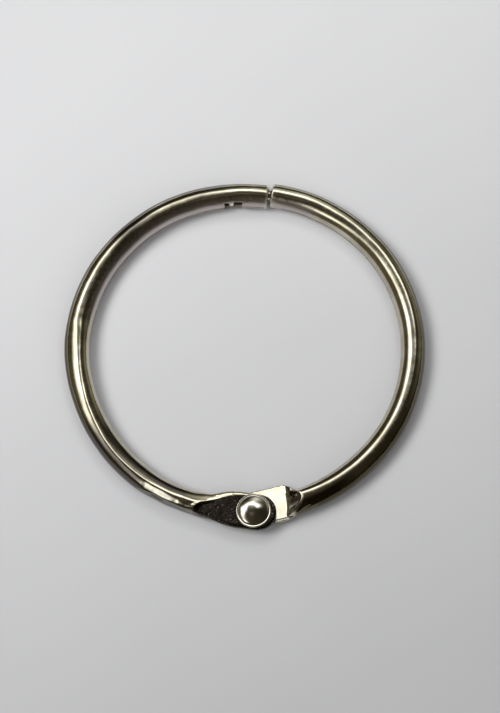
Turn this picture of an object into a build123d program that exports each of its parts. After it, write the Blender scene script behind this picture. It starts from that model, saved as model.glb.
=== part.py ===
from build123d import *
import os
from math import sin, cos, tan, radians, degrees, sqrt, acos, atan2

# Hinged loose-leaf ring lying flat: +Z up, ring in the XY plane, millimetres.
# Clock angles are measured from +Y, clockwise seen from above.

# ---- driving dimensions ------------------------------------------------------
ring_r = 26.95           # ring centre to tube axis (50 mm inside diameter)
tube_r = 1.95            # outside radius of the rolled tube
wall = 0.45              # strip thickness
seam = 0.2               # open seam on the inner circumference
axis_z = tube_r          # tube axis above the table

joint_deg = 8.6          # clock angle of the clasp joint
joint_gap = 0.5          # daylight between the two mouths
mouth_round = 0.35       # rolled-over edge of each mouth
neck_len = 1.2           # closed neck behind the right mouth

tongue_r = 0.8           # rolled-down end of the right half
tongue_tip_deg = -7.4    # clock angle its tip reaches inside the left half
tooth_r = 0.55           # pressed bump on the tongue
tooth_deg = -5.1
tooth_rise = 0.17
window_deg = (-8.0, -1.2)   # punched window in the left half
window_half_z = 1.15

hinge_deg = 177.3        # clock angle of the rivet
hinge_r = 27.447         # ring centre to rivet axis
tab_t = 1.1              # pressed thickness of each hinge tab
tab_gap = 0.1            # between the two tabs
leaf_half = 2.9          # half width of the left tab
leaf_tip = 3.6           # rivet axis to the end of the left tab
tab_in = 3.5             # right tab, rivet line to the edge facing the ring's centre
tab_out = 2.4            # right tab, rivet line to the outer edge
tab_tip = 3.4            # rivet axis to the hidden end of the right tab
tab_corner = 5.95        # rivet axis to the square corner of the right tab
tab_tilt = 4.0           # slope of the right tab's face towards the ring's centre
tab_foot, tab_foot_slant = 5.4, 0.17      # where the face meets the shoulder, along the tab, and how that line slants
shoulder, shoulder_slant = 6.85, 0.7      # the shoulder's upper edge, the same way
leaf_foot, leaf_slant = 9.05, 0.35        # where the left tab's face meets the tube
edge_round = 0.42        # folded edges of the left tab
tab_round = 0.3          # lower edges of the right tab
corner_round = 0.35

shank_r = 1.4
shank_clear = 0.05       # running clearance in the right tab
flange_r = 2.72
flange_t = 0.32
dome_r = 2.3
dome_h = 0.75
tail_r = 2.3
tail_clear = 0.05

# ---- derived -----------------------------------------------------------------
leaf_z0 = axis_z + tab_gap / 2
leaf_z1 = leaf_z0 + tab_t
tab_z1 = axis_z - tab_gap / 2
tab_z0 = tab_z1 - tab_t
bore_r = tube_r - wall


def at(clock, r=ring_r):
    return (r * sin(radians(clock)), r * cos(radians(clock)))


hx, hy = at(hinge_deg, hinge_r)
run = sqrt(hinge_r ** 2 - ring_r ** 2)         # rivet axis to where the straight tab meets the arc
spread = degrees(acos(ring_r / hinge_r))
left_end_deg = hinge_deg + spread              # clock angle of the left tangent point
right_end_deg = hinge_deg - spread


def polar(clock):
    return 90.0 - clock


def sector(section_r, clock_a, clock_b, r=ring_r, z=axis_z):
    """Solid round bar along the ring from clock_a anticlockwise to clock_b."""
    sk = Plane.XZ * Pos(r, z) * Circle(section_r)
    span = clock_a - clock_b
    bar = revolve(sk, axis=Axis.Z, revolution_arc=span)
    return Rot(0, 0, polar(clock_a)) * bar


def slit(clock_a, clock_b):
    w = wall + 0.35
    sk = Plane.XZ * Pos(ring_r - tube_r - 0.15 + w / 2, axis_z) * Rectangle(w, seam)
    return Rot(0, 0, polar(clock_a)) * revolve(sk, axis=Axis.Z, revolution_arc=clock_a - clock_b)


def tab_plane(end_deg):
    """Frame at the rivet: local x runs out along the tab to the arc, local y is in the ring plane, z is up."""
    ex, ey = at(end_deg)
    d = Vector(ex - hx, ey - hy, 0).normalized()
    return Plane(origin=(hx, hy, 0), x_dir=d, z_dir=(0, 0, 1))


def slab(frame, pts, half):
    """Prism whose outline is given in (along, height), reaching half to either side of the tab's line."""
    pl = Plane(origin=frame.origin, x_dir=frame.x_dir, z_dir=frame.y_dir * -1)
    return extrude(pl * make_face(Polyline(*pts, close=True)), amount=half, both=True)


def press(frame, side, outline, reach=4.0):
    """Space taken by the press tool: outline(p) gives its (along, height) corners at p towards the ring's centre."""
    ends = []
    for p in (-reach, reach):
        pl = Plane(origin=frame.from_local_coords(Vector(0, side * p, 0)), x_dir=frame.x_dir, z_dir=frame.y_dir * -1)
        ends.append(pl * make_face(Polyline(*outline(p), close=True)))
    return loft(ends, ruled=True)


def round_mouth(bar, clock):
    """Rolled-over edge at the end of a bar."""
    c = Vector(*at(clock), axis_z)
    return fillet([e for e in bar.edges().filter_by(GeomType.CIRCLE) if (e.arc_center - c).length < 0.2], mouth_round)


def bow(s):
    return max(0.0, s - run) ** 2 / (2 * ring_r)


# ---- left half ring ----------------------------------------------------------
half_gap_deg = degrees(joint_gap / 2 / ring_r)
left_mouth = joint_deg - half_gap_deg
right_mouth = joint_deg + half_gap_deg

left = round_mouth(sector(tube_r, left_mouth, left_end_deg - 360), left_mouth)
LF = tab_plane(left_end_deg)
# inner side of the ring lies towards -y in the left tab's frame
side_l = -1.0 if (Vector(-hx, -hy, 0).dot(LF.y_dir) < 0) else 1.0

left -= press(LF, side_l, lambda p: [(-6, leaf_z1), (leaf_foot - leaf_slant * p, leaf_z1),
                                     (leaf_foot + 0.8 - leaf_slant * p, 2 * tube_r + 0.1), (leaf_foot + 0.8 - leaf_slant * p, 6), (-6, 6)])
left -= slab(LF, [(-6, -1), (8.5, -1), (8.5, -0.05), (6.0, leaf_z0), (-6, leaf_z0)], 4.5)

widths = [(2.2, 2.9), (3.2, 2.86), (4.2, 2.72), (5.2, 2.48), (6.3, 2.13), (7.5, 1.78), (8.6, 1.52), (9.3, 1.38)]
k = leaf_half / 2.9
upper = [(s, side_l * (bow(s) + k * w)) for s, w in widths]
lower = [(s, side_l * (bow(s) - k * w)) for s, w in widths]
a_tip = leaf_tip - 0.6
tipc = -0.6
q = [(tipc + a_tip * cos(radians(t)), side_l * leaf_half * sin(radians(t))) for t in range(105, 256, 15)]
rim_pts = upper[::-1] + [(0.6, side_l * leaf_half)] + q + [(0.6, -side_l * leaf_half)] + lower
rim_line = Spline(*rim_pts)
outline = Wire([rim_line.edge(), Line(lower[-1], upper[-1]).edge()])
leaf = extrude(LF.offset(leaf_z0) * make_face(outline), amount=tab_t)
root_l = LF.from_local_coords(Vector(9.3, side_l * bow(9.3), leaf_z0 + tab_t / 2))
rim = [e for e in leaf.edges() if abs(e.center().Z - leaf_z0) < 1e-3 or abs(e.center().Z - leaf_z1) < 1e-3]
rim = [e for e in rim if (e.center() - Vector(root_l.X, root_l.Y, e.center().Z)).length > 0.6]
leaf = fillet(rim, edge_round)
left += leaf

# hollow: round bore, closing to a pressed crease where the tube is flattened
close_deg = left_end_deg + 19.0
left -= sector(bore_r, left_mouth + 3, close_deg - 360)
cap_pl = Plane(origin=(*at(close_deg), axis_z), x_dir=(0, 0, 1),
               z_dir=(cos(radians(close_deg)) * 1.0, -sin(radians(close_deg)) * 1.0, 0))
left -= extrude(cap_pl * Circle(bore_r), amount=-2.6, taper=24)
left -= slit(left_mouth + 3, left_end_deg + 9 - 360)

# punched window near the mouth
wa, wb = window_deg
wr0, wr1 = ring_r - tube_r - 0.5, ring_r - 0.55
win = Plane.XZ * Pos((wr0 + wr1) / 2, axis_z) * RectangleRounded(wr1 - wr0, 2 * window_half_z, 0.2)
left -= Rot(0, 0, polar(wb)) * revolve(win, axis=Axis.Z, revolution_arc=wb - wa)

# rivet hole, filled by the swollen shank
left -= Pos(hx, hy, axis_z) * Cylinder(shank_r, 12)

# ---- right half ring ---------------------------------------------------------
right = round_mouth(sector(tube_r, right_end_deg, right_mouth), right_mouth)
RF = tab_plane(right_end_deg)
side_r = -1.0 if (Vector(-hx, -hy, 0).dot(RF.y_dir) < 0) else 1.0

# pressed face, sloping down towards the ring's centre, and the slanted shoulder up to the tube
def tool(p):
    face = tab_z1 - (p + tab_out) * tan(radians(tab_tilt))
    foot, ridge = tab_foot + tab_foot_slant * p, shoulder + shoulder_slant * p
    return [(-6, face), (foot, face), (ridge, 2 * tube_r + 0.15), (ridge, 6), (-6, 6)]


right -= slab(RF, [(-6, tab_z0), (8.8, tab_z0), (9.6, -0.1), (9.6, -2), (-6, -2)], 4.5)

mid = (tab_in - tab_out) / 2
hw = (tab_in + tab_out) / 2


def rp(s, p):
    return (s, side_r * p)


s0 = hw - tab_tip
chain = [rp(s0, mid - hw), rp(5.1, -tab_out), rp(7.4, bow(7.4) - 1.55), rp(8.7, bow(8.7) - 1.4), rp(8.7, bow(8.7) + 1.4),
         rp(7.7, bow(7.7) + 1.6), rp(tab_corner, tab_in), rp(s0, mid + hw)]
nose_r = ThreePointArc(chain[-1], rp(-tab_tip, mid), chain[0])
outline_r = Wire([nose_r.edge()] + [Line(chain[i], chain[i + 1]).edge() for i in range(len(chain) - 1)])
tab = extrude(RF.offset(tab_z0) * make_face(outline_r), amount=tab_t)
root_r = RF.from_local_coords(Vector(8.7, side_r * bow(8.7), tab_z0 + tab_t / 2))
posts = []
for s_, p_ in ((5.1, -tab_out), (7.4, bow(7.4) - 1.55), (7.7, bow(7.7) + 1.6), (tab_corner, tab_in)):
    v = RF.from_local_coords(Vector(s_, side_r * p_, tab_z0 + tab_t / 2))
    posts += [e for e in tab.edges() if (e.center() - v).length < 0.05]
tab = fillet(posts, corner_round)
rim = [e for e in tab.edges() if abs(e.center().Z - tab_z0) < 1e-3]
rim = [e for e in rim if (e.center() - Vector(root_r.X, root_r.Y, e.center().Z)).length > 0.9]
tab = fillet(rim, tab_round)
right += tab

right -= press(RF, side_r, tool)

# hollow, open seam
right -= sector(bore_r, right_end_deg - 14, right_mouth + degrees(neck_len / ring_r))
cap_pr = Plane(origin=(*at(right_end_deg - 14), axis_z), x_dir=(0, 0, 1),
               z_dir=(cos(radians(right_end_deg - 14)), -sin(radians(right_end_deg - 14)), 0))
right -= extrude(cap_pr * Circle(bore_r), amount=2.4, taper=24)
right -= slit(right_end_deg - 7, right_mouth + degrees(neck_len / ring_r))

right -= Pos(hx, hy, axis_z) * Cylinder(shank_r + shank_clear, 12)

# tongue and tooth, bent about the rivet so that they leave the bore along their own line
mx, my = at(joint_deg)
d_tongue = sqrt((mx - hx) ** 2 + (my - hy) ** 2)


def about_rivet(clock, r=ring_r):
    x, y = at(clock, r)
    return degrees(atan2(x - hx, y - hy))


ta, tb = about_rivet(right_mouth + 1.6), about_rivet(tongue_tip_deg)
sk = Plane.XZ * Pos(d_tongue, axis_z) * Circle(tongue_r)
tongue = Pos(hx, hy, 0) * Rot(0, 0, polar(ta)) * revolve(sk, axis=Axis.Z, revolution_arc=ta - tb)
tip = Vector(hx + d_tongue * sin(radians(tb)), hy + d_tongue * cos(radians(tb)), axis_z)
tongue = fillet([e for e in tongue.edges().filter_by(GeomType.CIRCLE) if (e.arc_center - tip).length < 0.2], 0.35)
tt = about_rivet(tooth_deg)
d_tooth = d_tongue - tongue_r - tooth_rise + tooth_r
tongue += Pos(hx + d_tooth * sin(radians(tt)), hy + d_tooth * cos(radians(tt)), axis_z) * Sphere(tooth_r)
right += tongue

# ---- hinge rivet -------------------------------------------------------------
z_tail1 = tab_z0 - tail_clear
dome_R = (dome_r ** 2 + dome_h ** 2) / (2 * dome_h)
with BuildPart() as rv:
    with BuildSketch(Plane.XZ):
        with BuildLine():
            l1 = Polyline((0, 0.05), (tail_r - 0.75, 0.05))
            l2 = ThreePointArc((tail_r - 0.75, 0.05), (tail_r - 0.12, 0.26), (tail_r, z_tail1))
            l3 = Polyline((tail_r, z_tail1), (shank_r, z_tail1), (shank_r, leaf_z1), (flange_r - 0.1, leaf_z1),
                          (flange_r, leaf_z1 + 0.12), (flange_r - 0.12, leaf_z1 + flange_t), (dome_r, leaf_z1 + flange_t))
            zc = leaf_z1 + flange_t + dome_h - dome_R
            t = 0.5 * atan2(dome_r, dome_R - dome_h)
            l4 = ThreePointArc((dome_r, leaf_z1 + flange_t), (dome_R * sin(t), zc + dome_R * cos(t)),
                               (0, leaf_z1 + flange_t + dome_h))
            l5 = Line((0, leaf_z1 + flange_t + dome_h), (0, 0.05))
        make_face()
    revolve(axis=Axis.Z)
rivet = Pos(hx, hy, 0) * rv.part

# ---- place on the reference point and write ----------------------------------
lo = [min(tuple(b.bounding_box().min)[i] for b in (left, right, rivet)) for i in range(3)]
hi = [max(tuple(b.bounding_box().max)[i] for b in (left, right, rivet)) for i in range(3)]
shift = Pos(-(lo[0] + hi[0]) / 2, -(lo[1] + hi[1]) / 2, -lo[2])
os.makedirs("parts", exist_ok=True)
for name, body in (("left_half_ring", left), ("right_half_ring", right), ("hinge_rivet", rivet)):
    body = shift * body
    solids = body.solids()
    print(name, "solids", len(solids), "volume", round(body.volume, 3), "valid", all(s.is_valid for s in solids))
    export_step(solids[0] if len(solids) == 1 else Compound(solids), "parts/" + name + ".step")
print("shift", [round(v, 4) for v in tuple(shift.position)], "hinge", round(hx + shift.position.X, 4), round(hy + shift.position.Y, 4))
print("box", [round(h - l, 3) for l, h in zip(lo, hi)])
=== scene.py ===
import bpy, math
import numpy as np
from mathutils import Matrix, Vector


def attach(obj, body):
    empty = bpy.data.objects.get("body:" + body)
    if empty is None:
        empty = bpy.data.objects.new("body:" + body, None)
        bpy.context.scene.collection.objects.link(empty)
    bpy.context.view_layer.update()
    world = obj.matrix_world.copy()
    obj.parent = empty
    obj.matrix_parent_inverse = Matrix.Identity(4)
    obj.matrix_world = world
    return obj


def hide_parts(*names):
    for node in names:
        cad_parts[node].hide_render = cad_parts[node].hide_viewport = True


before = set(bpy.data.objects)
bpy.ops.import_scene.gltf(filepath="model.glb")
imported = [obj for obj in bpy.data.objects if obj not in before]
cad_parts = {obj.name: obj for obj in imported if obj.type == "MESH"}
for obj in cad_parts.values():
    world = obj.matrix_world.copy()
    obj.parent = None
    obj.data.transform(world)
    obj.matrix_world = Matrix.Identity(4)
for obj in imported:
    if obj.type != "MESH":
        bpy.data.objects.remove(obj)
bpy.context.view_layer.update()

MM = 0.001
rng = np.random.default_rng(7)

# ------------------------------------------------------------------ dimensions (millimetres, as the solid model)
RING, TUBE, WALL, SEAM = 26.95, 1.95, 0.45, 0.2
BORE = TUBE - WALL
ZA = TUBE
SHIFT = (0.0, 0.7522)
JOINT, GAP = 8.6, 0.5
HINGE_DEG, HINGE_R = 177.3, 27.447
LEAF0, LEAF1 = 2.0, 3.1
TAB0, TAB1 = 0.8, 1.9
LEAF_HALF, LEAF_TIP = 2.9, 3.6
TAB_IN, TAB_OUT, TAB_TIP, TAB_CORNER, TAB_TILT = 3.5, 2.4, 3.4, 5.95, math.radians(6.5)
SHANK = 1.4
WINDOW = (-8.0, -1.2)
WINDOW_Z = 1.15
TONGUE, TONGUE_TIP, TOOTH_DEG, TOOTH_RISE = 0.8, -7.4, -5.1, 1.0
NECK = 1.2

RAD = math.pi / 180
hinge = np.array([HINGE_R * math.sin(HINGE_DEG * RAD), HINGE_R * math.cos(HINGE_DEG * RAD)])
RUN = math.sqrt(HINGE_R ** 2 - RING ** 2)
SPREAD = math.acos(RING / HINGE_R) / RAD
LEFT_END, RIGHT_END = HINGE_DEG + SPREAD, HINGE_DEG - SPREAD
HALF_GAP = GAP / 2 / RING / RAD


def at(clock, r=RING):
    return np.array([r * math.sin(clock * RAD), r * math.cos(clock * RAD)])


# the drawn wire is not a perfect circle: radial departure (mm) against clock angle, one curve per half
DEV_LEFT = ([187.3, 196, 203, 210, 215, 221, 228, 235, 242, 250, 257, 265, 272, 285, 292, 310, 320, 330, 340, 345, 350, 355, 360, 369],
            [0, .02, .28, .32, .10, .08, .04, 0, -.1, -.15, -.08, 0, .08, .03, .06, .03, -.02, .02, -.07, -.16, -.28, -.36, -.4, -.4])
DEV_RIGHT = ([8.0, 13, 16, 20, 25, 30, 40, 50, 57, 65, 80, 90, 100, 125, 140, 150, 158, 165.4],
             [0, -.04, .1, .18, .12, .1, .04, .08, .1, 0, 0, -.1, -.18, -.2, -.24, -.15, -.05, 0])


def smooth_curve(kx, ky):
    x = np.linspace(kx[0], kx[-1], 800)
    y = np.interp(x, kx, ky)
    n = 22
    k = np.exp(-0.5 * (np.arange(-3 * n, 3 * n + 1) / n) ** 2)
    pad = np.concatenate([2 * y[0] - y[3 * n:0:-1], y, 2 * y[-1] - y[-2:-3 * n - 2:-1]])
    y2 = np.convolve(pad, k / k.sum(), mode="valid")
    return x, y2


DEV_L, DEV_R = smooth_curve(*DEV_LEFT), smooth_curve(*DEV_RIGHT)


def departure(c, sign):
    return float(np.interp(c, *(DEV_L if sign > 0 else DEV_R)))


def station(s, end_deg, sign):
    """Centre, direction and inward normal of a half ring's centre line, s millimetres from the rivet."""
    if s <= RUN:
        d = at(end_deg) - hinge
        d = d / np.linalg.norm(d)
        o = hinge + d * s
        n = np.array([-d[1], d[0]])
        if np.dot(n, -hinge) < 0:
            n = -n
        return o, d, n
    c = end_deg + sign * (s - RUN) / RING / RAD
    n = -at(c) / RING
    o = at(c, RING + departure(c, sign))
    d = sign * np.array([math.cos(c * RAD), -math.sin(c * RAD)])
    return o, d, n


def wave(x, freqs, seed):
    """Smooth repeatable wander of a single variable."""
    g = np.random.default_rng(seed)
    y = np.zeros_like(np.asarray(x, float))
    for f in freqs:
        y = y + np.sin(np.asarray(x) * f * (0.85 + 0.3 * g.random()) + g.random() * 6.28) / len(freqs)
    return y


def smax(a, b, k):
    h = np.clip(0.5 + 0.5 * (a - b) / k, 0, 1)
    return b * (1 - h) + a * h + k * h * (1 - h)


def smin(a, b, k):
    return -smax(-a, -b, k)


# ------------------------------------------------------------------ tab outlines in (along, across)
def leaf_half(s):
    xs = [-0.6, 2.2, 3.2, 4.2, 5.2, 6.3, 7.5, 8.6, 9.3]
    ys = [2.9, 2.9, 2.86, 2.72, 2.48, 2.13, 1.78, 1.52, 1.38]
    fine = np.linspace(xs[0], xs[-1], 400)
    y = np.interp(fine, xs, ys)
    k = np.exp(-0.5 * (np.arange(-30, 31) / 11.0) ** 2)
    k /= k.sum()
    y = np.convolve(np.pad(y, 30, mode="edge"), k, mode="valid")
    s = np.asarray(s, float)
    nose = LEAF_HALF * np.sqrt(np.clip(1 - ((s + 0.6) / (LEAF_TIP - 0.6)) ** 2, 0, 1))
    return np.where(s < -0.6, nose, np.interp(s, fine, y))


def tab_sides(s):
    """Inner and outer reach of the right tab at s."""
    s = np.asarray(s, float)
    mid, hw = (TAB_IN - TAB_OUT) / 2, (TAB_IN + TAB_OUT) / 2
    s0 = hw - TAB_TIP
    nose = np.sqrt(np.clip(hw ** 2 - (s - s0) ** 2, 0, None))
    inner = np.interp(s, [s0, TAB_CORNER - 0.06, TAB_CORNER + 0.1, 7.7, 8.7], [TAB_IN, TAB_IN, TAB_IN - 0.12, 1.6, 1.4])
    outer = np.interp(s, [s0, 5.0, 5.3, 7.4, 8.7], [TAB_OUT, TAB_OUT, TAB_OUT - 0.08, 1.55, 1.4])
    return np.where(s < s0, mid + nose, inner), np.where(s < s0, nose - mid, outer)


def rim_distance(outline, s, p):
    """Distance from points (s, p) to an outline given as a dense list of points."""
    q = np.stack([np.full_like(p, s), p], -1)
    d = np.full(len(p), 9e9)
    for i in range(0, len(outline), 256):
        blk = outline[i:i + 256]
        d = np.minimum(d, np.sqrt(((q[:, None] - blk[None]) ** 2).sum(-1)).min(1))
    return d


def edge_drop(d, r):
    """How far a face falls away at distance d from an edge rounded with radius r."""
    t = np.clip(d, 0, r)
    return r - np.sqrt(np.clip(r * r - (r - t) ** 2, 0, None))


sl = np.concatenate([-LEAF_TIP + 3.0 * (1 - np.cos(np.linspace(0, math.pi / 2, 160))), np.linspace(-0.59, 9.3, 500)])
leaf_outline = np.concatenate([np.stack([sl, leaf_half(sl)], -1), np.stack([sl, -leaf_half(sl)], -1)])
hw_ = (TAB_IN + TAB_OUT) / 2
st = np.concatenate([-TAB_TIP + hw_ * (1 - np.cos(np.linspace(0, math.pi / 2, 160))), np.linspace(hw_ - TAB_TIP + 0.01, 8.7, 500)])
ti, to = tab_sides(st)
tab_outline = np.concatenate([np.stack([st, ti], -1), np.stack([st, -to], -1)])

PHI = np.linspace(0, math.pi, 721)


def resample(p, z, n):
    """n points spaced evenly along a polyline."""
    seg = np.hypot(np.diff(p), np.diff(z))
    t = np.concatenate([[0], np.cumsum(seg)])
    u = np.linspace(0, t[-1], n)
    return np.interp(u, t, p), np.interp(u, t, z)


def loop(p, up, lo, half):
    """Closed section from its inner edge over the top to its outer edge and back under: 2 * half points."""
    ok = (up > -99) & (lo < 99)
    up, lo = up[ok], lo[ok]
    p = p[ok]
    lo = np.minimum(lo, up)
    pu, zu = resample(p, up, half + 1)
    pl, zl = resample(p[::-1], lo[::-1], half + 1)
    return np.concatenate([pu[:-1], pl[:-1]]), np.concatenate([zu[:-1], zl[:-1]])


HALF = 64
N = 2 * HALF


def tube_curves(p, r=TUBE):
    h = np.sqrt(np.clip(r * r - p * p, 0, None))
    inside = np.abs(p) <= r
    return np.where(inside, ZA + h, -9e9), np.where(inside, ZA - h, 9e9)


def warp_crown(p, z, lean, ridge):
    """Round section whose crown leans towards the ring's centre (lean) and is drawn a little tighter (ridge)."""
    u = np.clip(p / TUBE, -1, 1)
    w = u - lean * (1 - u * u)
    w = np.clip(w * (1 + ridge * np.exp(-(w / 0.34) ** 2)), -1, 1)
    top = ZA + TUBE * np.sqrt(np.clip(1 - w * w, 0, None))
    return p, np.where(z > ZA + 1e-9, top, z)


LEAN = ([194, 200, 208, 216, 225, 235, 240, 245, 250, 255, 260, 265, 270, 275, 279, 285, 290, 312, 320, 350, 358],
        [-.1, -.13, -.16, -.22, -.25, -.21, -.15, -.09, -.045, .04, .12, .17, .18, .13, -.04, -.03, 0, 0, .09, .09, 0])
RIDGE = ([194, 200, 208, 216, 225, 240, 250, 258, 265, 272, 280, 288, 312, 320, 350, 358], [.1, .2, .35, .55, .60, .52, .55, .50, .40, .22, .08, 0, 0, -.28, -.28, 0])
OVAL = ([250, 262, 275, 290, 340, 350, 358, 365], [0, .04, .10, .14, .13, .08, .04, 0])
OVAL_R = ([9, 11, 14, 27, 40], [0, .01, .07, .07, 0])
LEAN_R = ([9, 15, 22, 40, 138, 148, 156, 162, 168], [.05, .05, 0, 0, 0, .04, .12, .20, .20])
RIDGE_R = ([9, 138, 150, 160, 168], [0, 0, -.12, -.35, -.35])


def facet(p, z, mid, half):
    """Round section with one narrow flat; mid and half are degrees round the section."""
    a = np.arctan2(z - ZA, p)
    r = np.hypot(p, z - ZA)
    off = np.angle(np.exp(1j * (a - mid * RAD)))
    flat = TUBE * math.cos(half * RAD) / np.maximum(np.cos(off), 0.2)
    k = np.where(np.abs(off) < 1.2, np.minimum(smin(flat, r, 0.07) / r, 1.0), 1.0)
    return p * k, ZA + (z - ZA) * k


def crease(s):
    """Where the struck face of the left tab ends towards the ring's centre."""
    return float(np.interp(s, [-3.6, -0.6, 0.5, 2.0, 3.74, 5.4, 7.1, 8.8, 10.5], [2.6, 2.6, 2.5, 2.36, 2.06, 1.37, 0.5, -0.4, -1.2]))


def ease(x):
    x = np.clip(x, 0, 1)
    return x * x * (3 - 2 * x)


def pinch(p, c, least=0.0):
    """The press nips the outer side of the left tube a little before the tab."""
    reach = max(least, float(np.interp(c, [196.5, 203, 210, 219], [1.6, 1.38, 1.38, TUBE + 0.2])))
    return -smin(-p, np.full_like(p, reach), 0.12)


def left_section(s):
    if s >= 11.5:
        a = np.linspace(0, 2 * math.pi, N, endpoint=False)
        p, z = TUBE * np.cos(a), ZA + TUBE * np.sin(a)
        c = LEFT_END + (s - RUN) / RING / RAD
        p, z = warp_crown(p, z, float(np.interp(c, *LEAN)), float(np.interp(c, *RIDGE)))
        lens = 1 - ((c - 208.0) / 6.0) ** 2
        if lens > 0:
            p, z = facet(p, z, 119.5, 18.0 * lens)
            p = p - 0.22 * lens * np.exp(-((p + 1.0) / 0.5) ** 2)
        p = np.where(p > 0, p * (1 + float(np.interp(c, *OVAL))), p)
        # the press has slightly flattened the crown for a little way before the tab
        f = np.clip((19.0 - s) / 8.0, 0, 1)
        z = np.where(z > ZA, ZA + (z - ZA) * (1 - 0.035 * f * f), z)
        return pinch(p, c), z
    plate = s <= 9.3
    h = float(leaf_half(s)) if plate else 0.0
    zt0 = 9.05
    w = TUBE if s > 5.4 else 0.0
    zb = np.interp(s, [6.0, 8.5, 8.6], [LEAF0, -0.05, -9.0])
    if zb > ZA:
        w = math.sqrt(max(TUBE ** 2 - (zb - ZA) ** 2, 0.0)) if s > 5.4 else 0.0
    reach = max(h, w)
    p = reach * np.cos(PHI)
    up, lo = np.full_like(p, -9e9), np.full_like(p, 9e9)
    past = np.clip(p - crease(s), 0, None)
    fold = 0.105 * past + 0.08 * past ** 2
    if w > 0:
        tu, tl = tube_curves(p)
        c = LEFT_END + max(s - RUN, 0) / RING / RAD
        tu = warp_crown(p, tu, float(np.interp(c, *LEAN)), float(np.interp(c, *RIDGE)))[1]
        tu = np.where(tu > 0, ZA + (tu - ZA) * (1 - 0.035), tu)
        # on the outer side the round drops to the struck face in a short step; past the crease it eases down over a long way
        foot, brow = zt0 - 0.95 - 0.35 * p, zt0 - 0.1 - 0.35 * p
        lift = (s - foot) / (brow - foot)
        top = LEAF1 + np.clip(lift, 0, None) * (2 * TUBE + 0.1 - LEAF1)
        top = np.where(lift > 1.6, 9e9, top)
        short = np.minimum(tu, smin(tu, top, 0.10))
        b = ease((s - 5.4) / 6.1)
        long = b * tu + (1 - b) * (LEAF1 - fold - edge_drop(np.clip(reach - np.abs(p), 0, None), 0.42))
        q = ease((p - crease(s) + 0.35) / 0.6)
        tu = np.where(tu > 0, (1 - q) * short + q * long, tu)
        tl = np.maximum(tl, zb)
        ok = (tu > -99) & (tu >= tl - 1e-9)
        up, lo = np.where(ok, tu, up), np.where(ok, tl, lo)
    if plate:
        d = rim_distance(leaf_outline, s, p)
        inside = np.abs(p) <= h + 1e-9
        f = edge_drop(d, 0.42) if s < 9.2 else np.zeros_like(p)
        lo_ = LEAF0 + f
        up = np.where(inside, np.maximum(up, np.maximum(LEAF1 - fold - f, lo_ + 0.02)), up)
        lo = np.where(inside, np.minimum(lo, lo_), lo)
    p, z = loop(p, up, lo, HALF)
    return pinch(p, LEFT_END + max(s - RUN, 0) / RING / RAD, float(leaf_half(s)) + 0.2 if plate else 0.0), z


def right_section(s):
    if s >= 11.5:
        a = np.linspace(0, 2 * math.pi, N, endpoint=False)
        c = RIGHT_END - (s - RUN) / RING / RAD
        p, z = warp_crown(TUBE * np.cos(a), ZA + TUBE * np.sin(a), float(np.interp(c, *LEAN_R)), float(np.interp(c, *RIDGE_R)))
        return np.where(p > 0, p * (1 + float(np.interp(c, *OVAL_R))), p), z
    plate = s <= 8.7
    hi, ho = (float(v) for v in tab_sides(s)) if plate else (0.0, 0.0)
    w = TUBE if s > 4.9 else 0.0
    zb = float(np.interp(s, [8.8, 9.6, 9.7], [TAB0, -0.1, -9.0]))
    ri, ro = max(hi, w), max(ho, w)
    p = (ri - ro) / 2 + (ri + ro) / 2 * np.cos(PHI)
    face = TAB1 - (p + TAB_OUT) * math.tan(TAB_TILT)
    foot = 5.4 + 0.17 * p
    ridge = 7.89 + 0.3865 * p - 0.4425 * p * p
    t = (s - foot) / np.maximum(ridge - foot, 0.12)
    ramp = face + np.clip(t, 0, None) * (2 * TUBE + 0.15 - face)
    ramp = np.where(t > 1.15, 9e9, ramp)
    up, lo = np.full_like(p, -9e9), np.full_like(p, 9e9)
    if w > 0:
        tu, tl = tube_curves(p)
        c = RIGHT_END - max(s - RUN, 0) / RING / RAD
        tu = warp_crown(p, tu, float(np.interp(c, *LEAN_R)), float(np.interp(c, *RIDGE_R)))[1]
        tu = np.where(tu > 0, np.minimum(tu, smin(tu, ramp, 0.10)), tu)
        tl = np.maximum(tl, zb)
        ok = (tu > -99) & (tu >= tl - 1e-9)
        up, lo = np.where(ok, tu, up), np.where(ok, tl, lo)
    if plate:
        d = rim_distance(tab_outline, s, p)
        inside = (p <= hi + 1e-9) & (p >= -ho - 1e-9)
        # past the foot of the rise the web between tab and tube climbs as well
        cap = ZA - 0.06 + np.sqrt(np.clip(TUBE ** 2 - p * p, 0, None))
        top = smin(np.minimum(TAB1, face) + 0.62 * np.clip(s - foot, 0, None), cap, 0.15) - edge_drop(d, 0.10)
        bot = TAB0 + edge_drop(d, 0.30)
        up = np.where(inside, np.maximum(up, np.maximum(top, bot + 0.02)), up)
        lo = np.where(inside, np.minimum(lo, bot), lo)
    return loop(p, up, lo, HALF)


# ------------------------------------------------------------------ grids
def blur_rows(a, s, sigma):
    """Gaussian blur along s of rows with uneven spacing."""
    out = np.empty_like(a)
    for i in range(len(s)):
        sg = sigma[i]
        if sg <= 0:
            out[i] = a[i]
            continue
        lo, hi = np.searchsorted(s, [s[i] - 3 * sg, s[i] + 3 * sg])
        w = np.exp(-0.5 * ((s[lo:hi] - s[i]) / sg) ** 2)
        w *= np.gradient(s)[lo:hi]
        out[i] = np.tensordot(w / w.sum(), a[lo:hi], axes=1)
    return out


def nose_rows(tip, far, step):
    c = tip + 0.9 * (1 - np.cos(np.linspace(0, math.pi / 2, 26)))
    return np.concatenate([c, np.arange(c[-1] + step, far, step)])


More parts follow.
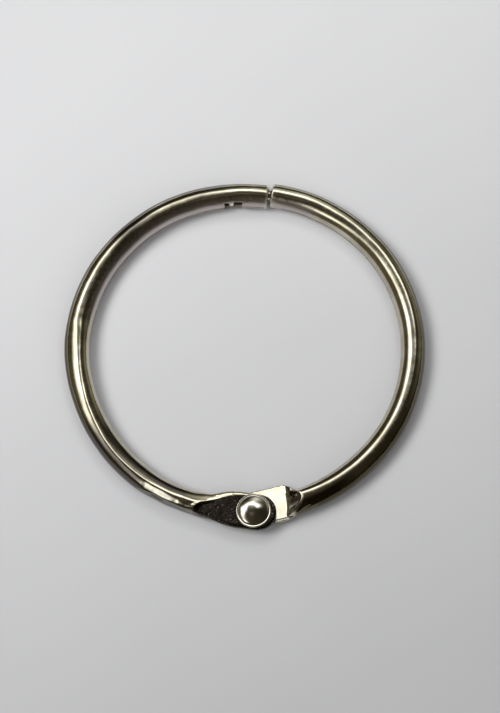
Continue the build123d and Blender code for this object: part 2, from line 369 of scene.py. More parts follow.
def sheet(name, rows_s, sect, end_deg, sign, bore, seam, windows, hole_r, tail=None, dents=(), wobble_seed=1, pits=None):
    """One rolled and pressed strip: an outer skin of closed sections, a bore inside its round stretch, an open seam,
    windows, a rivet hole, and a rounded mouth or a drawn-down tongue (tail) at its far end."""
    s = np.asarray(rows_s)
    P, Z = np.empty((len(s), N)), np.empty((len(s), N))
    for i, v in enumerate(s):
        P[i], Z[i] = sect(v)
    near = np.clip((12.0 - s) / 2.0, 0, 1) * np.clip((s - s[0]) / 0.6, 0, 1)
    P, Z = blur_rows(P, s, 0.13 * near), blur_rows(Z, s, 0.13 * near)
    # slight waviness left by rolling and plating
    ang = np.arange(N) / N * 2 * math.pi
    g = np.random.default_rng(wobble_seed)
    tube = np.clip((s - 9.5) / 2.0, 0, 1)[:, None]
    wob = np.zeros((len(s), N))
    for f, m, a in ((0.55, 1, 0.008), (0.9, 2, 0.006), (1.7, 1, 0.0035), (2.9, 3, 0.002), (4.6, 2, 0.0014)):
        wob += a * np.sin(s[:, None] * f * (0.9 + 0.2 * g.random()) + m * ang[None] + g.random() * 6.28)
    P = P * (1 + tube * wob / TUBE)
    Z = ZA + (Z - ZA) * (1 + tube * wob / TUBE)
    for (s0, a0, ls, la, depth) in dents:
        da = np.angle(np.exp(1j * (ang - a0)))
        e = np.exp(-((s[:, None] - s0) / ls) ** 2 - (da[None] / la) ** 2)
        P = P * (1 - depth * e / TUBE)
        Z = ZA + (Z - ZA) * (1 - depth * e / TUBE)
    Z = np.maximum(Z, 0.003)
    O = np.array([station(v, end_deg, sign)[0] for v in s])
    Nn = np.array([station(v, end_deg, sign)[2] for v in s])
    X = O[:, 0:1] + Nn[:, 0:1] * P
    Y = O[:, 1:2] + Nn[:, 1:2] * P
    outer = np.stack([X, Y, Z], -1)
    if pits is not None:
        outer = pits(outer, s)
    rows = [outer]
    n_main = len(s)
    if tail is not None:
        rows.append(tail())
    outer = np.concatenate(rows)
    R = len(outer)
    verts = [outer.reshape(-1, 3)]
    faces = []
    # bore rows
    i0, i1 = np.searchsorted(s, bore[0]), np.searchsorted(s, bore[1], side="right")
    keep = np.ones((R - 1, N), bool)

    def inside_seam(i):
        return seam[0] <= s[i] and s[i + 1] <= seam[1]

    for i in range(n_main - 1):
        if inside_seam(i):
            keep[i, N - 1] = keep[i, 0] = False
        for (wa, wb, wz) in windows:
            if wa <= 0.5 * (s[i] + s[i + 1]) <= wb:
                zc = 0.25 * (outer[i, :, 2] + np.roll(outer[i, :, 2], -1) + outer[i + 1, :, 2] + np.roll(outer[i + 1, :, 2], -1))
                pc = 0.5 * (P[i] + np.roll(P[i], -1))
                keep[i, (np.abs(zc - ZA) < wz) & (pc > 0)] = False
    cen = 0.25 * (outer[:-1, :, :2] + outer[1:, :, :2] + np.roll(outer, -1, 1)[:-1, :, :2] + np.roll(outer, -1, 1)[1:, :, :2])
    hole = np.hypot(cen[..., 0] - hinge[0], cen[..., 1] - hinge[1]) < hole_r
    hole[n_main - 1:] = False
    hole[:, HALF:] = hole[:, :HALF][:, ::-1]
    idx = np.arange(R * N).reshape(R, N)
    inner_rows = np.arange(i0, i1)
    a = ang
    base = R * N
    ib = np.full((R, N), -1)
    tips = []
    for k, i in enumerate(inner_rows):
        o, d, n = station(s[i], end_deg, sign)
        r = np.full(N, BORE)
        close = np.interp(s[i], [bore[0], bore[0] + 2.6], [0.12, 1.0])
        flat = 1.0 - (1.0 - close) * 0.55
        pp, zz = r * np.cos(a) * flat, r * np.sin(a) * close
        tips.append(np.stack([o[0] + n[0] * pp, o[1] + n[1] * pp, ZA + zz], -1))
        ib[i] = base + k * N + np.arange(N)
    verts.append(np.concatenate(tips).reshape(-1, 3))

    def quad(*q):
        faces.append(q)

    for i in range(R - 1):
        for j in range(N):
            j2 = (j + 1) % N
            if keep[i, j] and not hole[i, j]:
                quad(idx[i, j], idx[i + 1, j], idx[i + 1, j2], idx[i, j2])
            if i0 <= i < i1 - 1 and keep[i, j]:
                quad(ib[i, j], ib[i, j2], ib[i + 1, j2], ib[i + 1, j])
                # walls where a neighbour is cut away
                if not keep[i, j2]:
                    quad(idx[i, j2], idx[i + 1, j2], ib[i + 1, j2], ib[i, j2])
                if not keep[i, j - 1]:
                    quad(idx[i, j], ib[i, j], ib[i + 1, j], idx[i + 1, j])
                if i > i0 and not keep[i - 1, j]:
                    quad(idx[i, j], idx[i, j2], ib[i, j2], ib[i, j])
                if i + 1 < i1 - 1 and not keep[i + 1, j]:
                    quad(idx[i + 1, j], ib[i + 1, j], ib[i + 1, j2], idx[i + 1, j2])
    # rivet hole wall between upper and lower faces
    for i in range(n_main - 1):
        for j in range(HALF):
            if not hole[i, j]:
                continue
            m = N - 1 - j
            def low(jj):
                return (N - jj) % N
            if not hole[i, j - 1]:
                quad(idx[i, j], idx[i + 1, j], idx[i + 1, low(j)], idx[i, low(j)])
            if not hole[i, (j + 1) % N]:
                quad(idx[i + 1, j + 1], idx[i, j + 1], idx[i, low(j + 1)], idx[i + 1, low(j + 1)])
            if not hole[i - 1, j]:
                quad(idx[i, j + 1], idx[i, j], idx[i, low(j)], idx[i, low(j + 1)])
            if not hole[i + 1, j]:
                quad(idx[i + 1, j], idx[i + 1, j + 1], idx[i + 1, low(j + 1)], idx[i + 1, low(j)])
    # closed ends
    faces.append(tuple(idx[0, ::-1]))
    faces.append(tuple(ib[inner_rows[0]]))
    if tail is None:
        e = n_main - 1
        for j in range(N):
            j2 = (j + 1) % N
            if keep[e - 1, j]:
                quad(idx[e, j], ib[e, j], ib[e, j2], idx[e, j2])
    else:
        faces.append(tuple(ib[inner_rows[-1], ::-1]))
        faces.append(tuple(idx[R - 1]))
    V = np.concatenate(verts)
    V[:, 0] += SHIFT[0]
    V[:, 1] += SHIFT[1]
    V *= MM
    me = bpy.data.meshes.new(name)
    me.from_pydata(V.tolist(), [], [tuple(int(q) for q in f) for f in faces])
    me.validate()
    import bmesh
    bm = bmesh.new()
    bm.from_mesh(me)
    bmesh.ops.delete(bm, geom=[v for v in bm.verts if not v.link_faces], context="VERTS")
    bmesh.ops.remove_doubles(bm, verts=bm.verts, dist=1e-7)
    bmesh.ops.recalc_face_normals(bm, faces=bm.faces)
    bm.to_mesh(me)
    bm.free()
    me.polygons.foreach_set("use_smooth", [True] * len(me.polygons))
    me.set_sharp_from_angle(angle=math.radians(38))
    ob = bpy.data.objects.new(name, me)
    bpy.context.scene.collection.objects.link(ob)
    return ob


def leaf_pits(outer, s):
    """Small press marks and pits on the upper face of the left tab."""
    g = np.random.default_rng(23)
    spots = []
    while len(spots) < 90:
        v = g.uniform(-3.0, 8.9)
        w = g.uniform(-1, 1) * (leaf_half(v) - 0.15)
        spots.append((v, w, g.uniform(0.09, 0.16), g.uniform(0.006, 0.018)))
    up = outer[..., 2] > LEAF1 - 0.5
    o0, d0, n0 = station(0.0, LEFT_END, 1)
    rel = outer[..., :2] - hinge
    u, w = rel @ d0, rel @ n0
    zone = up & (u < 9.3) & (u > -3.6)
    dz = np.zeros(u.shape)
    for (v0, w0, r0, h0) in spots:
        dz -= h0 * np.exp(-(((u - v0) ** 2 + (w - w0) ** 2) / r0 ** 2))
    # low swell of the pressed face
    dz += 0.012 * np.sin(1.3 * u + 0.7) * np.cos(1.1 * w) + 0.008 * np.sin(2.6 * u - 1.9 * w)
    fade = np.clip((9.3 - u) / 1.2, 0, 1)
    outer = outer.copy()
    outer[..., 2] += np.where(zone, dz * fade, 0)
    return outer


def mouth_rows(s_end, r=0.35):
    """Distances at which the rolled-over edge of the mouth is drawn."""
    return [s_end - r + r * math.sin(t) for t in np.linspace(0, math.pi / 2, 9)]


# left half
left_len = RUN + RING * (360 + JOINT - HALF_GAP - LEFT_END) * RAD
rows_left = np.concatenate([nose_rows(-LEAF_TIP + 0.004, 11.5, 0.085), np.arange(11.5, left_len - 9.5, 0.36),
                            np.arange(left_len - 9.5, left_len - 0.4, 0.14), mouth_rows(left_len)])
rows_left = np.unique(np.round(rows_left, 5))


def s_of_left(clock):
    return RUN + RING * (360 + clock - LEFT_END) * RAD


def left_with_mouth(s):
    p, z = left_section(s)
    over = s - (left_len - 0.35)
    if over > 0:
        k = (TUBE - 0.35 + math.sqrt(max(0.35 ** 2 - over ** 2, 0))) / TUBE
        p, z = p * k, ZA + (z - ZA) * k
    return p, z


left_ob = sheet("left_half", rows_left, left_with_mouth, LEFT_END, 1,
                bore=(RUN + RING * 19 * RAD - 2.6, left_len + 1), seam=(RUN + RING * 9 * RAD + 3.0, left_len + 1),
                windows=[(s_of_left(WINDOW[0]), s_of_left(WINDOW[1]), WINDOW_Z)], hole_r=SHANK + 0.06,
                dents=[(15.5, 2.2, 1.6, 0.5, 0.05), (28.0, 1.9, 3.0, 0.7, 0.02), (61.0, 1.2, 2.0, 0.6, 0.02), (70.5, 1.1, 1.2, 0.5, 0.02)],
                wobble_seed=3, pits=leaf_pits)

# right half
right_len = RUN + RING * (RIGHT_END - JOINT - HALF_GAP) * RAD
rows_right = np.concatenate([nose_rows(-TAB_TIP + 0.004, 11.5, 0.085), np.arange(11.5, right_len - 1.0, 0.36), mouth_rows(right_len)])
rows_right = np.unique(np.round(rows_right, 5))
m_ = at(JOINT) - hinge
D_TONGUE = float(np.hypot(*m_))


def about(clock):
    v = at(clock) - hinge
    return math.atan2(v[0], v[1])


def right_with_mouth(s):
    p, z = right_section(s)
    over = s - (right_len - 0.35)
    if over > 0:
        k = (TUBE - 0.35 + math.sqrt(max(0.35 ** 2 - over ** 2, 0))) / TUBE
        p, z = p * k, ZA + (z - ZA) * k
    return p, z


def tongue():
    """Rows that carry the right half on from its mouth: shoulder, tongue, tooth, rounded tip."""
    a = np.arange(N) / N * 2 * math.pi
    t0, t1 = about(JOINT + HALF_GAP), about(TONGUE_TIP)
    out = []
    prof = [(0.0, 1.30), (0.0, 1.15), (0.01, 1.02), (0.04, 0.92), (0.10, 0.84), (0.20, 0.805)]
    total = (t0 - t1) * D_TONGUE
    body = [(v, TONGUE) for v in np.linspace(0.3, total - 0.35, 60)]
    tip = [(total - 0.35 + 0.35 * math.sin(q), TONGUE - 0.35 + 0.35 * math.cos(q)) for q in np.linspace(0.15, math.pi / 2, 8)]
    tip += [(total + 0.003, 0.3), (total + 0.005, 0.15)]
    tt = (t0 - about(TOOTH_DEG)) * D_TONGUE
    for (v, r) in prof + body + tip:
        t = t0 - v / D_TONGUE
        o = hinge + D_TONGUE * np.array([math.sin(t), math.cos(t)])
        n = -np.array([math.sin(t), math.cos(t)])
        da = np.angle(np.exp(1j * a))
        e = np.clip(1 - ((v - tt) / 0.62) ** 2 - (da * r / 0.62) ** 2, 0, None)
        rr = r + TOOTH_RISE * np.sqrt(e)
        p, z = rr * np.cos(a), rr * np.sin(a)
        out.append(np.stack([o[0] + n[0] * p, o[1] + n[1] * p, ZA + z], -1))
    return np.array(out)


right_ob = sheet("right_half", rows_right, right_with_mouth, RIGHT_END, -1,
                 bore=(RUN + RING * 14 * RAD - 2.4, right_len - NECK), seam=(RUN + RING * 7 * RAD + 3.0, right_len - NECK - 0.85),
                 windows=[], hole_r=SHANK + 0.12, tail=tongue,
                 dents=[(24.0, 1.7, 2.6, 0.6, 0.02), (47.0, 1.4, 3.0, 0.6, 0.02)], wobble_seed=11)


# ------------------------------------------------------------------ rivet
def lathe(name, prof, n=144):
    prof = np.asarray(prof)
    a = np.linspace(0, 2 * math.pi, n, endpoint=False)
    v, f = [], []
    for (r, z) in prof:
        rr = np.full(n, r)
        if z > LEAF1 + 0.05:
            rr = rr * (1 + 0.006 * np.sin(2 * a + 0.6) + 0.004 * np.sin(3 * a + 2.0) + 0.002 * np.sin(7 * a))
        # the set of the hammer leaves the top of the dome a little off the shank's axis
        k = max(0.0, 1 - (r / 2.34) ** 2) if z > LEAF1 + FT else 0.0
        v.append(np.stack([hinge[0] + rr * np.cos(a) - 0.34 * k, hinge[1] + rr * np.sin(a) + 0.14 * k, np.full(n, z)], -1))
    v = np.concatenate(v)
    m = len(prof)
    for i in range(m - 1):
        for j in range(n):
            j2 = (j + 1) % n
            f.append((i * n + j, i * n + j2, (i + 1) * n + j2, (i + 1) * n + j))
    f.append(tuple(range(n - 1, -1, -1)))
    f.append(tuple((m - 1) * n + j for j in range(n)))
    v[:, 0] += SHIFT[0]
    v[:, 1] += SHIFT[1]
    me = bpy.data.meshes.new(name)
    me.from_pydata((v * MM).tolist(), [], f)
    me.polygons.foreach_set("use_smooth", [True] * len(me.polygons))
    me.set_sharp_from_angle(angle=math.radians(38))
    ob = bpy.data.objects.new(name, me)
    bpy.context.scene.collection.objects.link(ob)
    return ob


FL, FT, DR = 2.72, 0.30, 2.34
TAIL = TAB0 - 0.05
prof = [(0.02, 0.05), (0.8, 0.05), (1.55, 0.05)]
prof += [(1.55 + 0.75 * math.sin(t), TAIL - (TAIL - 0.05) * math.cos(t)) for t in np.linspace(0.15, math.pi / 2, 14)]
prof += [(2.2, TAIL), (1.42, TAIL), (SHANK, TAIL + 0.02), (SHANK, LEAF1 - 0.02), (1.42, LEAF1), (2.55, LEAF1)]
prof += [(FL - 0.12 + 0.12 * math.cos(t), LEAF1 + 0.13 + 0.13 * math.sin(t)) for t in np.linspace(-math.pi / 2, 0, 7)]
prof += [(FL - 0.15 + 0.15 * math.cos(t), LEAF1 + 0.17 + 0.15 * math.sin(t)) for t in np.linspace(0.1, math.pi / 2, 9)]
prof += [(2.50, LEAF1 + FT - 0.004), (2.44, LEAF1 + FT - 0.010), (2.40, LEAF1 + FT - 0.004)]
# low dome: slope of its face (degrees) against radius, summed from the rim up
dr = np.linspace(DR, 0.02, 60)
slope = np.interp(dr, [0, 0.5, 0.85, 1.2, 2.0, 2.18, DR], [0, 3.5, 9.0, 13.5, 20.5, 26, 56])
rise = np.concatenate([[0], np.cumsum(np.tan(np.radians(0.5 * (slope[1:] + slope[:-1]))) * -np.diff(dr))])
prof += [(r, LEAF1 + FT + h) for r, h in zip(dr, rise)]
rivet_ob = lathe("rivet", prof)


# ------------------------------------------------------------------ painted shade and painted highlights carried by the meshes
def step(x, a, b):
    u = np.clip((x - a) / (b - a), 0, 1)
    return u * u * (3 - 2 * u)


def mark(ob, end_deg, sign, leaf):
    """Vertex marks for the material: painted shade on the side of the wire away from the ring centre, painted dark
    reflection on the face struck flat by the press tool, a painted reflection tone on the side towards the ring centre,
    painted shade that dims reflections along given stretches, and painted highlights and painted light on edges, the
    bore, the tongue and the right tab.
    """
    me = ob.data
    v = np.empty(len(me.vertices) * 3)
    me.vertices.foreach_get("co", v)
    v = v.reshape(-1, 3) / MM - np.array([SHIFT[0], SHIFT[1], 0])
    r = np.hypot(v[:, 0], v[:, 1])
    c = np.degrees(np.arctan2(v[:, 0], v[:, 1])) % 360
    c = np.where((sign > 0) & (c < 90), c + 360, c)
    dv = np.interp(c, *(DEV_L if sign > 0 else DEV_R))
    out = (r - RING - dv) / TUBE
    o0, d0, n0 = station(0.0, end_deg, sign)
    rel = v[:, :2] - hinge
    u, w = rel @ d0, rel @ n0
    far = np.hypot(rel[:, 0], rel[:, 1])
    tube = step(far, 8.0, 10.5)
    # painted shade on the side of the wire away from the ring centre
    flank_shade = step(out, 0.52, 0.86) * tube
    press = np.zeros(len(v))
    if leaf:
        cr = np.interp(u, [-3.6, -0.6, 0.5, 2.0, 3.74, 5.4, 7.1, 8.8, 10.5], [2.6, 2.6, 2.5, 2.36, 2.06, 1.37, 0.5, -0.4, -1.2])
        bow = np.clip(u - RUN, 0, None) ** 2 / (2 * RING)
        w2 = w - bow
        # painted dark reflection over the face struck flat by the press tool
        press = step(cr + 0.10 - w2, 0.0, 0.22) * step(8.95 - 0.35 * w2 - u, 0.0, 0.25) * (v[:, 2] > 1.2)
    rad = np.hypot(r - RING - dv, v[:, 2] - ZA)
    if sign > 0:
        # painted reflection tone: lighter pinkish grey on the side of the wire towards the ring centre, stronger on the
        # upper left
        inner = np.maximum(0.35 * step(-out, 0.62, 0.95), step(-out, 0.30, 0.80) * step(c, 268, 292)) * tube
        # painted shade that dims highlights and reflections along given stretches of the left half
        painted_dimming = np.interp(c, [304, 309, 313, 319, 324, 329, 333, 338, 345, 351, 356], [0, 0.2, 0.80, 0.88, 0.6, 0.08, 0.36, 0.36, 0.55, 0.42, 0.05])
        painted_dimming = painted_dimming * step(c, 303, 309) * step(out, -0.45, -0.1)
        span = step(c, 212, 217) * step(-c, -246, -236)
        painted_dimming = np.maximum(painted_dimming, span * np.maximum(0.85 * step(out, 0.16, 0.30), 0.85 * step(-out, 0.02, 0.16) * step(out, -0.78, -0.62)))
        painted_dimming = np.maximum(painted_dimming, 0.92 * step(far, 9.6, 11.2) * step(-c, -222, -214) * step(-out, 0.02, 0.15) * step(out, -0.74, -0.58))
        # painted highlight on the rounded end of the left half's mouth
        painted_highlight = step(c, 360 + JOINT - HALF_GAP - 0.95, 360 + JOINT - HALF_GAP - 0.45)
        # painted highlight on the flat that the press left beside the tab
        painted_highlight = np.maximum(painted_highlight, 0.55 * step(c, 202.5, 206) * step(-c, -215, -211) * step(out, 0.20, 0.34) * step(-out, -0.70, -0.62) * (v[:, 2] > ZA))
        # painted shade on the outer side of the wire just before the left tab
        flank_shade = np.maximum(flank_shade, step(out, 0.59, 0.68) * step(c, 195, 200) * step(-c, -219, -212) * tube)
        # painted highlight along the sheared edge of the window and painted light on the bore behind it
        win = (c > 360 + WINDOW[0] - 0.3) & (c < 360 + WINDOW[1] + 0.3) & (out < 0.1)
        painted_highlight = np.maximum(painted_highlight, 0.55 * (win & (rad < BORE + 0.08)))
        painted_highlight = np.maximum(painted_highlight, 0.9 * (win & (np.abs(np.abs(v[:, 2] - ZA) - WINDOW_Z) < 0.14) & (out < -0.2)))
    else:
        # painted reflection tone on the side of the wire towards the ring centre, stronger near the joint
        inner = np.maximum(0.25 * step(-out, 0.62, 0.95), step(-out, 0.38, 0.82) * step(-c, -34, -20)) * tube
        # painted shade that dims the highlight on the right half between about 70 and 90 degrees of clock
        painted_dimming = 0.40 * step(c, 68, 76) * step(-c, -93, -84) * step(out, -0.45, -0.1)
        # painted highlight on the rounded end of the right half's mouth
        painted_highlight = step(-c, -(JOINT + HALF_GAP + 0.95), -(JOINT + HALF_GAP + 0.4)) * (r > RING - TUBE - 1) * step(rad, 1.2, 1.5)
        # painted light on the tongue where it runs inside the left half
        painted_highlight = np.maximum(painted_highlight, step(RING - r, 0.95, 1.2) * (c > 340) * (c < 358))
        # painted shade on the outer side of the wire near the right tab's shoulder
        flank_shade = np.maximum(flank_shade, 0.9 * step(out, 0.10, 0.32) * step(c, 140, 150) * step(far, 6.2, 6.9))
        # painted highlight along the edge where the tab's rise meets the round
        edge = np.exp(-((u - 7.89 - 0.3865 * w + 0.4425 * w * w) / 0.15) ** 2) * (v[:, 2] > 2.4) * (np.abs(w) < 1.8)
        painted_highlight = np.maximum(painted_highlight, 0.8 * edge)
        # painted shade on the rise between the right tab and the round
        rise = step(u, 6.05, 6.25) * step(np.where(w > 1.2, 7.5, 7.89 + 0.3865 * w - 0.4425 * w * w) - u, 0.12, 0.3) * (v[:, 2] > 1.4)
        painted_dimming = np.maximum(painted_dimming, 0.75 * rise)
        # painted highlight over the face of the right tab
        painted_highlight = np.maximum(painted_highlight, 0.30 * step(-u, -5.9, -5.7) * (v[:, 2] > 1.3))
    for name, val in (("flank_shade", flank_shade), ("press", press), ("inner", inner), ("painted_dimming", painted_dimming), ("painted_highlight", painted_highlight)):
        at_ = me.attributes.new(name, "FLOAT", "POINT")
        at_.data.foreach_set("value", val.astype(np.float32))


mark(left_ob, LEFT_END, 1, True)
mark(right_ob, RIGHT_END, -1, False)


# ------------------------------------------------------------------ materials
def nickel(name, base_dark, base_light, rough, grain, marks):
    m = bpy.data.materials.new(name)
    m.use_nodes = True
    nt = m.node_tree
    new, link = nt.nodes.new, nt.links.new
    b = nt.nodes["Principled BSDF"]
    b.inputs["Metallic"].default_value = 1.0
    tc = new("ShaderNodeTexCoord")

    def noise(scale, detail):
        n = new("ShaderNodeTexNoise")
        n.inputs["Scale"].default_value = scale
        n.inputs["Detail"].default_value = detail
        link(tc.outputs["Object"], n.inputs["Vector"])
        return n

    def ramp(src, stops):
        r = new("ShaderNodeValToRGB")
        for i, (pos, col) in enumerate(stops):
            r.color_ramp.elements[i].position = pos
            r.color_ramp.elements[i].color = (*col, 1)
        link(src, r.inputs["Fac"])
        return r.outputs["Color"]

    def attribute(label):
        n = new("ShaderNodeAttribute")
        n.attribute_name = label
        return n.outputs["Fac"]

    def over(under, col, fac):
        x = new("ShaderNodeMix")
        x.data_type = "RGBA"
        link(under, x.inputs["A"])
        if isinstance(col, tuple):
            x.inputs["B"].default_value = (*col, 1)
        else:
            link(col, x.inputs["B"])
        link(fac, x.inputs["Factor"])
        return x.outputs["Result"]

    def spread(src, lo, hi, out_lo, out_hi):
        x = new("ShaderNodeMapRange")
        x.inputs["From Min"].default_value, x.inputs["From Max"].default_value = lo, hi
        x.inputs["To Min"].default_value, x.inputs["To Max"].default_value = out_lo, out_hi
        link(src, x.inputs["Value"])
        return x.outputs["Result"]

    def plus(a, c):
        x = new("ShaderNodeMath")
        x.operation = "ADD"
        link(a, x.inputs[0])
        link(c, x.inputs[1])
        return x.outputs[0]

    big, mid, fine, grit = noise(240.0, 4.0), noise(850.0, 3.0), noise(1700.0, 6.0), noise(2900.0, 2.0)
    colour = ramp(big.outputs["Fac"], ((0.32, base_dark), (0.68, base_light)))
    tarnish = ramp(mid.outputs["Fac"], ((0.36, (0.66, 0.64, 0.60)), (0.52, (1.0, 1.0, 1.0))))
    mul = new("ShaderNodeMix")
    mul.data_type = "RGBA"
    mul.blend_type = "MULTIPLY"
    mul.inputs["Factor"].default_value = 0.34
    link(colour, mul.inputs["A"])
    link(tarnish, mul.inputs["B"])
    colour = mul.outputs["Result"]
    roughness = spread(fine.outputs["Fac"], 0.3, 0.7, *rough)
    if marks:
        # painted shade on the side of the wire away from the ring centre
        colour = over(colour, (0.085, 0.070, 0.042), attribute("flank_shade"))
        # painted reflection tone on the side of the wire towards the ring centre
        colour = over(colour, (0.50, 0.455, 0.43), attribute("inner"))
        # painted shade that dims reflections
        colour = over(colour, (0.112, 0.100, 0.092), attribute("painted_dimming"))
        specks = ramp(grit.outputs["Fac"], ((0.60, (0.055, 0.046, 0.038)), (0.74, (0.36, 0.33, 0.30))))
        # painted dark reflection on the struck face, broken by lighter specks at random
        colour = over(colour, specks, attribute("press"))
        # painted highlights and painted light
        colour = over(colour, (0.86, 0.84, 0.76), attribute("painted_highlight"))
        roughness = plus(roughness, spread(attribute("inner"), 0.0, 1.0, 0.0, 0.26))
        roughness = plus(roughness, spread(attribute("press"), 0.0, 1.0, 0.0, 0.10))
        roughness = plus(roughness, spread(attribute("painted_highlight"), 0.0, 1.0, 0.0, 0.26))
    link(colour, b.inputs["Base Color"])
    link(roughness, b.inputs["Roughness"])
    bump = new("ShaderNodeBump")
    bump.inputs["Strength"].default_value = grain
    bump.inputs["Distance"].default_value = 0.00002
    link(fine.outputs["Fac"], bump.inputs["Height"])
    link(bump.outputs["Normal"], b.inputs["Normal"])
    return m


plate = nickel("nickel_plate", (0.455, 0.42, 0.31), (0.66, 0.625, 0.51), (0.08, 0.17), 0.10, True)
plate_r = nickel("nickel_rivet", (0.68, 0.65, 0.57), (0.82, 0.795, 0.72), (0.04, 0.07), 0.04, False)
left_ob.data.materials.append(plate)
right_ob.data.materials.append(plate)
rivet_ob.data.materials.append(plate_r)

for ob, body, node, slot in ((left_ob, "left", "left_half_ring", "plated_tube"),
                             (right_ob, "right", "right_half_ring", "plated_tube"),
                             (rivet_ob, "left", "hinge_rivet", "plated_rivet")):
    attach(ob, body)
    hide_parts(node)

# ------------------------------------------------------------------ floor
fm = bpy.data.materials.new("paper")
fm.use_nodes = True
nt = fm.node_tree
b = nt.nodes["Principled BSDF"]
b.inputs["Roughness"].default_value = 0.95
b.inputs["Specular IOR Level"].default_value = 0.1
tc = nt.nodes.new("ShaderNodeTexCoord")
no = nt.nodes.new("ShaderNodeTexNoise")
no.inputs["Scale"].default_value = 45.0
no.inputs["Detail"].default_value = 2.0
nt.links.new(tc.outputs["Object"], no.inputs["Vector"])
# painted shade: the paper's colour darkens from 0.88 down to 0.30 towards -y and +x
fall = nt.nodes.new("ShaderNodeVectorMath")
fall.operation = "DOT_PRODUCT"
fall.inputs[1].default_value = (-0.40, 0.916, 0.0)
nt.links.new(tc.outputs["Object"], fall.inputs[0])
mr = nt.nodes.new("ShaderNodeMapRange")
mr.inputs["From Min"].default_value, mr.inputs["From Max"].default_value = -0.26, 0.06
nt.links.new(fall.outputs["Value"], mr.inputs["Value"])
shade = nt.nodes.new("ShaderNodeValToRGB")
cr = shade.color_ramp
cr.interpolation = "B_SPLINE"
for pos, v in ((0.0, 0.30), (0.35, 0.38), (0.64, 0.55), (0.8125, 0.725), (0.92, 0.83), (1.0, 0.88)):
    el = cr.elements[0] if pos == 0 else cr.elements[-1] if pos == 1.0 else cr.elements.new(pos)
    el.color = (v * 0.993, v, v * 1.03, 1)
nt.links.new(mr.outputs["Result"], shade.inputs["Fac"])
tint = nt.nodes.new("ShaderNodeValToRGB")
tint.color_ramp.elements[0].color = (0.965, 0.965, 0.970, 1)
tint.color_ramp.elements[1].color = (1.0, 1.0, 1.0, 1)
nt.links.new(no.outputs["Fac"], tint.inputs["Fac"])
fmix = nt.nodes.new("ShaderNodeMix")
fmix.data_type = "RGBA"
fmix.blend_type = "MULTIPLY"
fmix.inputs["Factor"].default_value = 1.0
nt.links.new(shade.outputs["Color"], fmix.inputs["A"])
nt.links.new(tint.outputs["Color"], fmix.inputs["B"])
nt.links.new(fmix.outputs["Result"], b.inputs["Base Color"])
fme = bpy.data.meshes.new("floor")
e = 0.6
fme.from_pydata([(-e, -e, 0), (e, -e, 0), (e, e, 0), (-e, e, 0)], [], [(0, 1, 2, 3)])
fme.materials.append(fm)
floor = bpy.data.objects.new("floor", fme)
bpy.context.scene.collection.objects.link(floor)


# ------------------------------------------------------------------ light
w = bpy.data.worlds.new("room")
bpy.context.scene.world = w
w.use_nodes = True
wt = w.node_tree
bg = wt.nodes["Background"]
bg.inputs["Strength"].default_value = 1.0


def bearing(az, zen):
    a, z = math.radians(az), math.radians(zen)
    return Vector((math.sin(z) * math.sin(a), math.sin(z) * math.cos(a), math.cos(z)))


# soft boxes of the room as smooth round glows: bearing (0 = +Y, clockwise), angle from overhead, tightness, colour
GLOWS = [
    (-134, 42, 90.0, (2.8, 2.8, 2.7)),
    (-112, 36, 120.0, (0.9, 0.9, 0.87)),
    (-88, 36, 100.0, (2.4, 2.4, 2.3)),
    (-66, 37, 95.0, (2.4, 2.4, 2.35)),
    (-60, 46, 110.0, (1.15, 1.15, 1.11)),
    (-58, 27, 120.0, (0.9, 0.9, 0.87)),
    (-42, 34, 80.0, (3.4, 3.4, 3.3)),
    (-20, 37, 110.0, (1.6, 1.6, 1.55)),
    (3, 35, 95.0, (3.5, 3.5, 3.4)),
    (3, 24, 110.0, (0.15, 0.15, 0.14)),
    (31, 32, 190.0, (3.4, 3.4, 3.3)),
    (12, 54, 50.0, (0.75, 0.74, 0.66)),
    (57, 72, 21.0, (0.28, 0.265, 0.19)),
    (-110, 100, 1.4, (0.15, 0.125, 0.075)),
    (0, 0, 130.0, (0.1, 0.097, 0.087)),
]
tc = wt.nodes.new("ShaderNodeTexCoord")
total = None
for (az, zen, kap, colr) in GLOWS:
    dot = wt.nodes.new("ShaderNodeVectorMath")
    dot.operation = "DOT_PRODUCT"
    wt.links.new(tc.outputs["Generated"], dot.inputs[0])
    dot.inputs[1].default_value = bearing(az, zen)
    ma = wt.nodes.new("ShaderNodeMath")
    ma.operation = "MULTIPLY_ADD"
    wt.links.new(dot.outputs["Value"], ma.inputs[0])
    ma.inputs[1].default_value, ma.inputs[2].default_value = kap, -kap
    ex = wt.nodes.new("ShaderNodeMath")
    ex.operation = "EXPONENT"
    wt.links.new(ma.outputs[0], ex.inputs[0])
    sc = wt.nodes.new("ShaderNodeVectorMath")
    sc.operation = "SCALE"
    sc.inputs[0].default_value = colr
    wt.links.new(ex.outputs[0], sc.inputs["Scale"])
    if total is None:
        total = sc.outputs[0]
        continue
    ad = wt.nodes.new("ShaderNodeVectorMath")
    ad.operation = "ADD"
    wt.links.new(total, ad.inputs[0])
    wt.links.new(sc.outputs[0], ad.inputs[1])
    total = ad.outputs[0]
ad = wt.nodes.new("ShaderNodeVectorMath")
ad.operation = "ADD"
wt.links.new(total, ad.inputs[0])
ad.inputs[1].default_value = (0.010, 0.0085, 0.006)
wt.links.new(ad.outputs[0], bg.inputs["Color"])
# the same room, weaker, for the light that the paper gathers: the lamps below give the paper most of its light
soft_bg = wt.nodes.new("ShaderNodeBackground")
soft_bg.inputs["Strength"].default_value = 0.45
wt.links.new(ad.outputs[0], soft_bg.inputs["Color"])
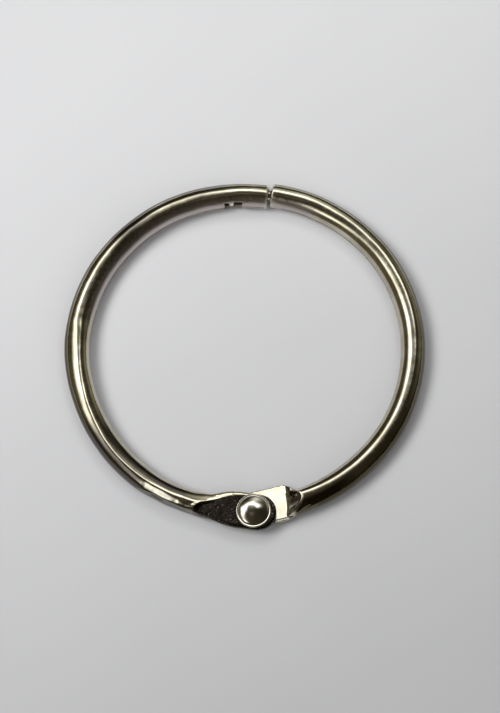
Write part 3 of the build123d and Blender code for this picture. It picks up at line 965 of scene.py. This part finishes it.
# plain pale backdrop wherever the room itself is in view
paper_bg = wt.nodes.new("ShaderNodeBackground")
paper_bg.inputs["Color"].default_value = (0.62, 0.62, 0.62, 1)
path = wt.nodes.new("ShaderNodeLightPath")
pick = wt.nodes.new("ShaderNodeMixShader")
gather = wt.nodes.new("ShaderNodeMixShader")
wt.links.new(path.outputs["Is Diffuse Ray"], gather.inputs["Fac"])
wt.links.new(bg.outputs["Background"], gather.inputs[1])
wt.links.new(soft_bg.outputs["Background"], gather.inputs[2])
wt.links.new(path.outputs["Is Camera Ray"], pick.inputs["Fac"])
wt.links.new(gather.outputs["Shader"], pick.inputs[1])
wt.links.new(paper_bg.outputs["Background"], pick.inputs[2])
wt.links.new(pick.outputs["Shader"], wt.nodes["World Output"].inputs["Surface"])


def disc(name, az, zen, half_deg, radiance, colour, dist=0.8):
    d = bpy.data.lights.new(name, "AREA")
    d.shape = "DISK"
    r = dist * math.tan(math.radians(half_deg))
    d.size = 2 * r
    d.energy = radiance * math.pi * math.pi * r * r
    d.color = colour
    o = bpy.data.objects.new(name, d)
    o.location = bearing(az, zen) * dist
    o.rotation_euler = (-o.location).to_track_quat("-Z", "Y").to_euler()
    bpy.context.scene.collection.objects.link(o)
    return o


# wide soft key that lights the paper and throws the soft shadows; it is kept out of the metal's reflections
for lamp in (disc("soft_key", -97, 33, 13.0, 8.3, (1.0, 1.0, 1.0)), disc("soft_fill", 140, 52, 25.0, 0.9, (1.0, 1.0, 1.0)),
             disc("overhead", 0, 2, 35.0, 0.42, (1.0, 1.0, 1.0))):
    lamp.visible_glossy = False

# ------------------------------------------------------------------ camera
ELEV, DIST, PX = 70.0, 350.0, 0.1598
aim = np.array([0.7636, -0.7463, ZA]) * MM
el = math.radians(ELEV)
cd = bpy.data.cameras.new("camera")
cd.sensor_fit = "HORIZONTAL"
cd.sensor_width = 36.0
cd.lens = 36.0 * DIST / (500 * PX)
cd.clip_start, cd.clip_end = 0.01, 5.0
cam = bpy.data.objects.new("camera", cd)
cam.location = Vector(aim) + Vector((0, -math.cos(el), math.sin(el))) * DIST * MM
cam.rotation_euler = (Vector(aim) - cam.location).to_track_quat("-Z", "Y").to_euler()
bpy.context.scene.collection.objects.link(cam)
bpy.context.scene.camera = cam

bpy.context.scene.view_settings.view_transform = "Standard"
bpy.context.scene.view_settings.look = "None"
